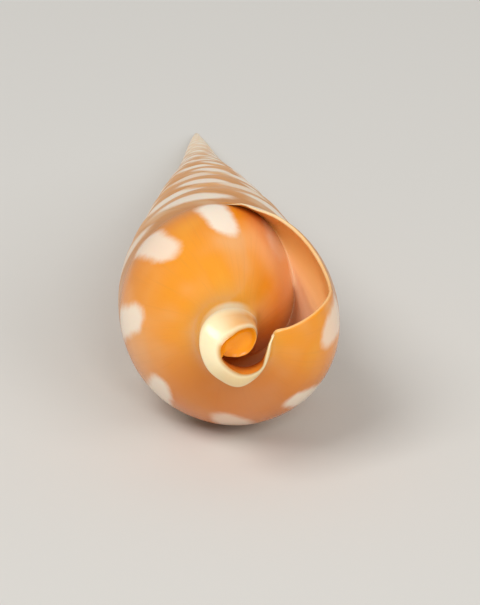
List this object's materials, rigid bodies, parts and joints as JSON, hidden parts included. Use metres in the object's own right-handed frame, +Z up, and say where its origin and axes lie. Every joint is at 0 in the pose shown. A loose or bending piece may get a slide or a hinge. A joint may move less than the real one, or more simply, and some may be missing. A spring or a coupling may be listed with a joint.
{
  "type": "auger shell",
  "caption": "Slender pointed spiral sea snail shell with a small open mouth, a notched neck and a coiled spire, lying on its side.",
  "frame": {"origin": "on the surface it lies on, under the centre of its bounding box", "axes": "+Y along the shell, from the mouth end to the spire's tip; +Z up, the way the open mouth faces; +X to the right when looking at the mouth end"},
  "size_m": [0.0216, 0.111, 0.0215],
  "materials": {
    "shell": "glossy orange shell with cream blotches"
  },
  "bodies": {
    "root": {"shell": "shell"}
  },
  "joints": []
}
